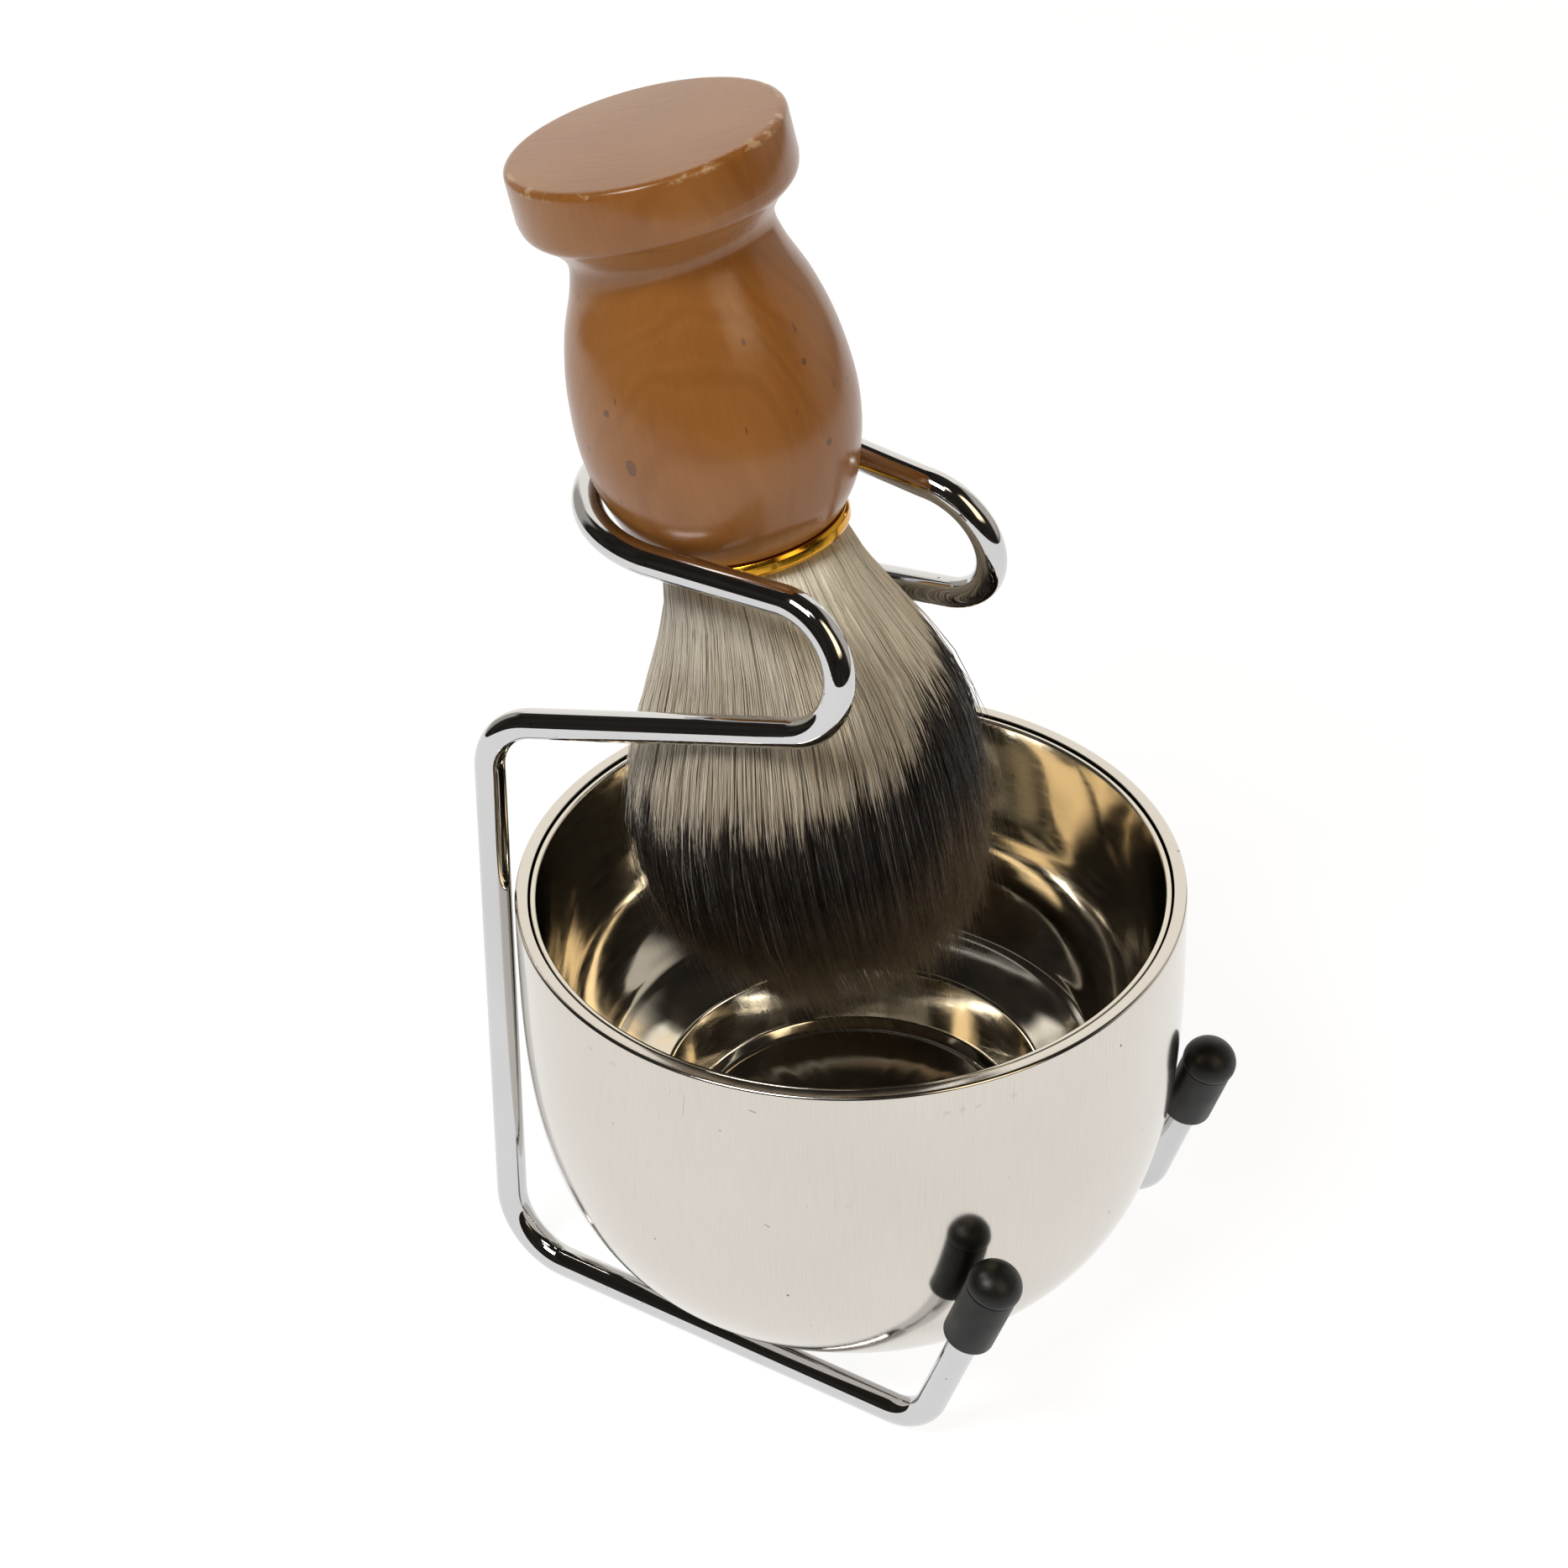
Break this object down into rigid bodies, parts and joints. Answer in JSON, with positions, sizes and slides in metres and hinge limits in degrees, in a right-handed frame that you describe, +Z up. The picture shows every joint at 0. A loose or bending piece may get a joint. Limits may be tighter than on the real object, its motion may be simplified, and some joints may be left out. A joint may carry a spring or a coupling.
{
  "type": "shaving mug with brush and stand",
  "caption": "Double-wall steel shaving bowl held in a bent chrome wire stand, with a wooden-handled shaving brush hanging from the stand's loop over the bowl.",
  "frame": {"origin": "middle of the set's footprint, on the surface it stands on", "axes": "+Z up; -Y is the front, where the two rubber tips stand and the brush is drawn out; the x = 0 plane mirrors the set"},
  "size_m": [0.0866, 0.0884, 0.1646],
  "materials": {
    "chrome_wire": "bright chrome plate",
    "black_rubber": "matte moulded",
    "satin_steel": "bright satin with fine scratches",
    "mirror_steel": "polished inside",
    "lacquered_wood": "turned, clear gloss lacquer",
    "gilt_ring": "bright gilt",
    "knot_resin": "cast resin",
    "bristles": "ivory hair with a black-brown band and paler tips"
  },
  "bodies": {
    "stand": {"stand_wire": "chrome_wire", "tip_left": "black_rubber", "tip_right": "black_rubber"},
    "bowl": {"bowl_outer_shell": "satin_steel", "bowl_inner_shell": "mirror_steel"},
    "brush": {"brush_handle": "lacquered_wood", "brush_collar": "gilt_ring", "knot_plug": "knot_resin", "bristle_knot": "bristles"}
  },
  "joints": [
    {"name": "bowl_lift", "type": "slide", "parent": "stand", "child": "bowl", "axis": [0, 0, 1], "range_m": [0, 0.02]},
    {"name": "brush_draw", "type": "slide", "parent": "stand", "child": "brush", "axis": [0, -0.866, 0.5], "range_m": [0, 0.11], "deforming": ["bristle_knot"]}
  ]
}
